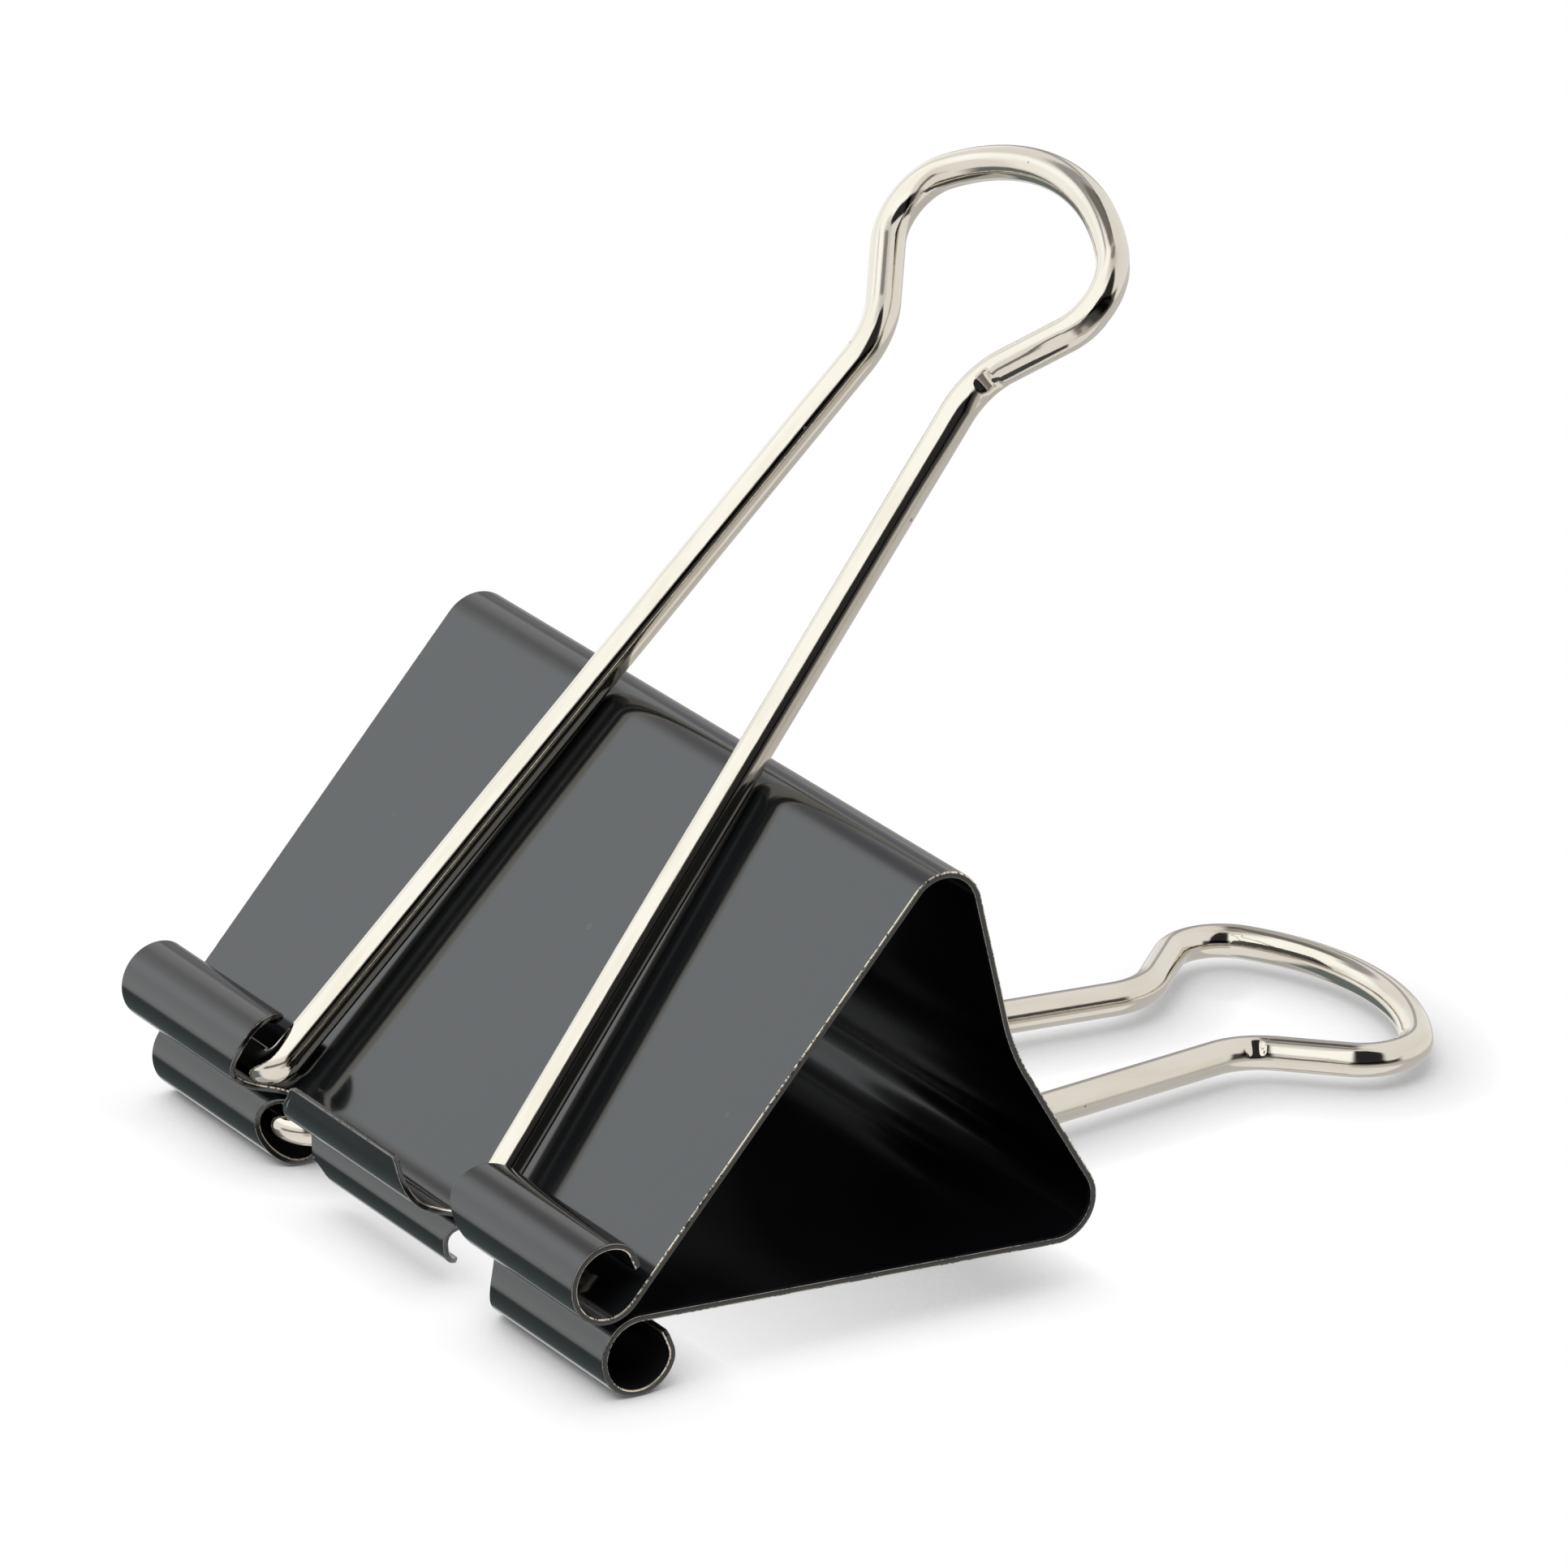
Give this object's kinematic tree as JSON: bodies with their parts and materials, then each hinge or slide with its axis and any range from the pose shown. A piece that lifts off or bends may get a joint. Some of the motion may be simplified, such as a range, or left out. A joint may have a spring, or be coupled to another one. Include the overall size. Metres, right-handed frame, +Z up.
{
  "type": "binder clip",
  "caption": "Folded spring-steel binder clip with rolled jaw edges and swinging wire handles that are squeezed together to open the jaws and fold flat over clamped paper.",
  "frame": {"origin": "on the table, under the middle of the part's box, as the closed clip lies on its lower tubes and lower handle", "axes": "+X along the clip's width, +Y from the jaw lips to the back, +Z up"},
  "size_m": [0.051, 0.0722, 0.0579],
  "materials": {
    "spring_back": "gloss black lacquer over spring steel",
    "upper_jaw": "gloss black lacquer over spring steel",
    "lower_jaw": "gloss black lacquer over spring steel",
    "upper_handle": "bright nickel plating on steel wire",
    "lower_handle": "bright nickel plating on steel wire"
  },
  "bodies": {
    "spring_back": {"spring_back": "spring_back"},
    "upper_jaw": {"upper_jaw": "upper_jaw"},
    "lower_jaw": {"lower_jaw": "lower_jaw"},
    "upper_handle": {"upper_handle": "upper_handle"},
    "lower_handle": {"lower_handle": "lower_handle"}
  },
  "joints": [
    {"name": "upper_jaw_flex", "type": "hinge", "parent": "spring_back", "child": "upper_jaw", "pos_m": [0, -0.01393, 0.02642], "axis": [-1, 0, 0], "range_deg": [0, 24], "stiffness_Nm_per_rad": 2, "springref_deg": -5.73},
    {"name": "lower_jaw_flex", "type": "hinge", "parent": "spring_back", "child": "lower_jaw", "pos_m": [0, -0.0041, 0.00334], "axis": [1, 0, 0], "range_deg": [0, 24], "stiffness_Nm_per_rad": 2, "springref_deg": -5.73},
    {"name": "upper_handle_swing", "type": "hinge", "parent": "upper_jaw", "child": "upper_handle", "pos_m": [0, -0.0337, 0.00718], "axis": [1, 0, 0], "range_deg": [0, 155]},
    {"name": "lower_handle_swing", "type": "hinge", "parent": "lower_jaw", "child": "lower_handle", "pos_m": [0, -0.03169, 0.00213], "axis": [-1, 0, 0], "range_deg": [0, 156]}
  ],
  "couplings": [
    {"joint": "lower_jaw_flex", "follows": "upper_jaw_flex", "ratio": 1}
  ]
}
